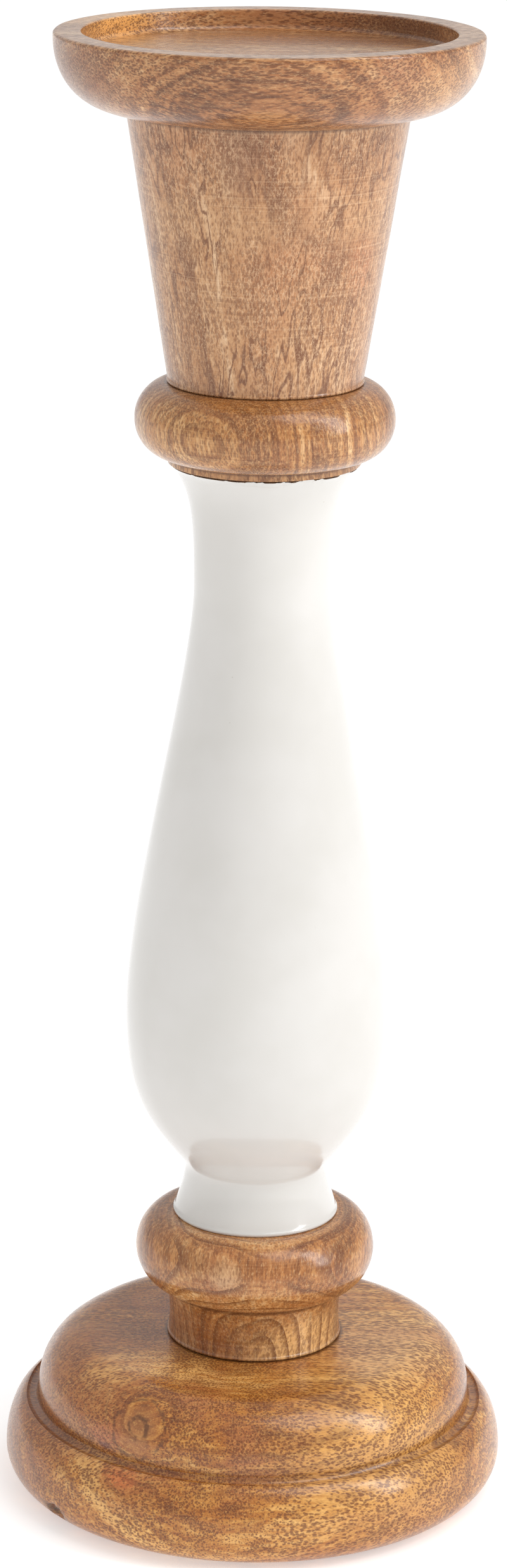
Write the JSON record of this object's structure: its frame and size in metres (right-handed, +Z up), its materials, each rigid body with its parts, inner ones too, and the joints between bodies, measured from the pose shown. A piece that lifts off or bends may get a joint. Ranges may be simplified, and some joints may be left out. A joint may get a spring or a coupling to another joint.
{
  "type": "candlestick",
  "caption": "Tall turned wooden candlestick with an enamelled baluster, a tapered collar and a shallow recessed dish for one pillar candle.",
  "frame": {"origin": "centre of the circle of felt feet, on the surface that the candlestick stands on", "axes": "+Z up along the turning axis, +Y away from the viewer of the front, +X to that viewer's right"},
  "size_m": [0.154, 0.154, 0.45],
  "materials": {
    "base_wood": "satin lacquer",
    "neck_wood": "satin lacquer",
    "core_wood": "raw, under the enamel",
    "white_enamel": "glossy",
    "ring_wood": "satin lacquer",
    "collar_wood": "satin lacquer",
    "dish_wood": "satin lacquer",
    "zinc_steel": "zinc plated",
    "felt": "pressed felt"
  },
  "bodies": {
    "root": {"base": "base_wood", "lower_bead_neck": "neck_wood", "baluster_core": "core_wood", "enamel_coat": "white_enamel", "upper_bead_ring": "ring_wood", "tapered_collar": "collar_wood", "candle_dish": "dish_wood", "tie_rod": "zinc_steel", "insert_nut": "zinc_steel", "flat_washer": "zinc_steel", "spring_washer": "zinc_steel", "hex_nut": "zinc_steel", "felt_feet": "felt"}
  },
  "joints": []
}
